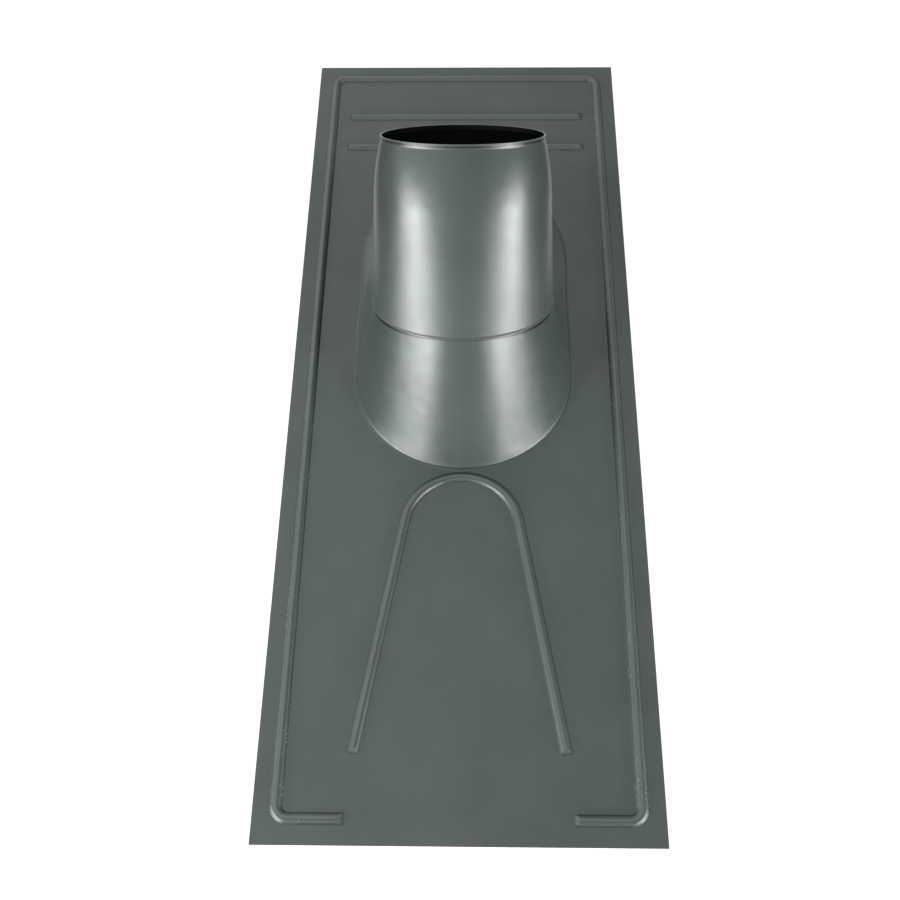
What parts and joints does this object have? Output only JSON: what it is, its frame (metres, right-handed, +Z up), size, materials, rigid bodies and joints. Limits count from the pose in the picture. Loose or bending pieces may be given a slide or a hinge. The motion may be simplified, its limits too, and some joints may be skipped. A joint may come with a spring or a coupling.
{
  "type": "pipe flashing boot",
  "caption": "Long beaded sheet base with a drawn skirt and a leaning tapered collar that seals a pipe through a pitched roof.",
  "frame": {"origin": "centre of the base plate's underside, the face that lies on the roof", "axes": "+Z up out of the roof's surface, +Y up the roof's slope towards the ridge, +X to the right of someone who faces the ridge"},
  "size_m": [0.3, 0.8, 0.2181],
  "materials": {
    "base_coating": "satin dark grey-green coating with a faint orange peel",
    "collar_coating": "satin dark grey-green coating with a faint orange peel"
  },
  "bodies": {
    "root": {"flashing_base": "base_coating", "collar": "collar_coating"}
  },
  "joints": []
}
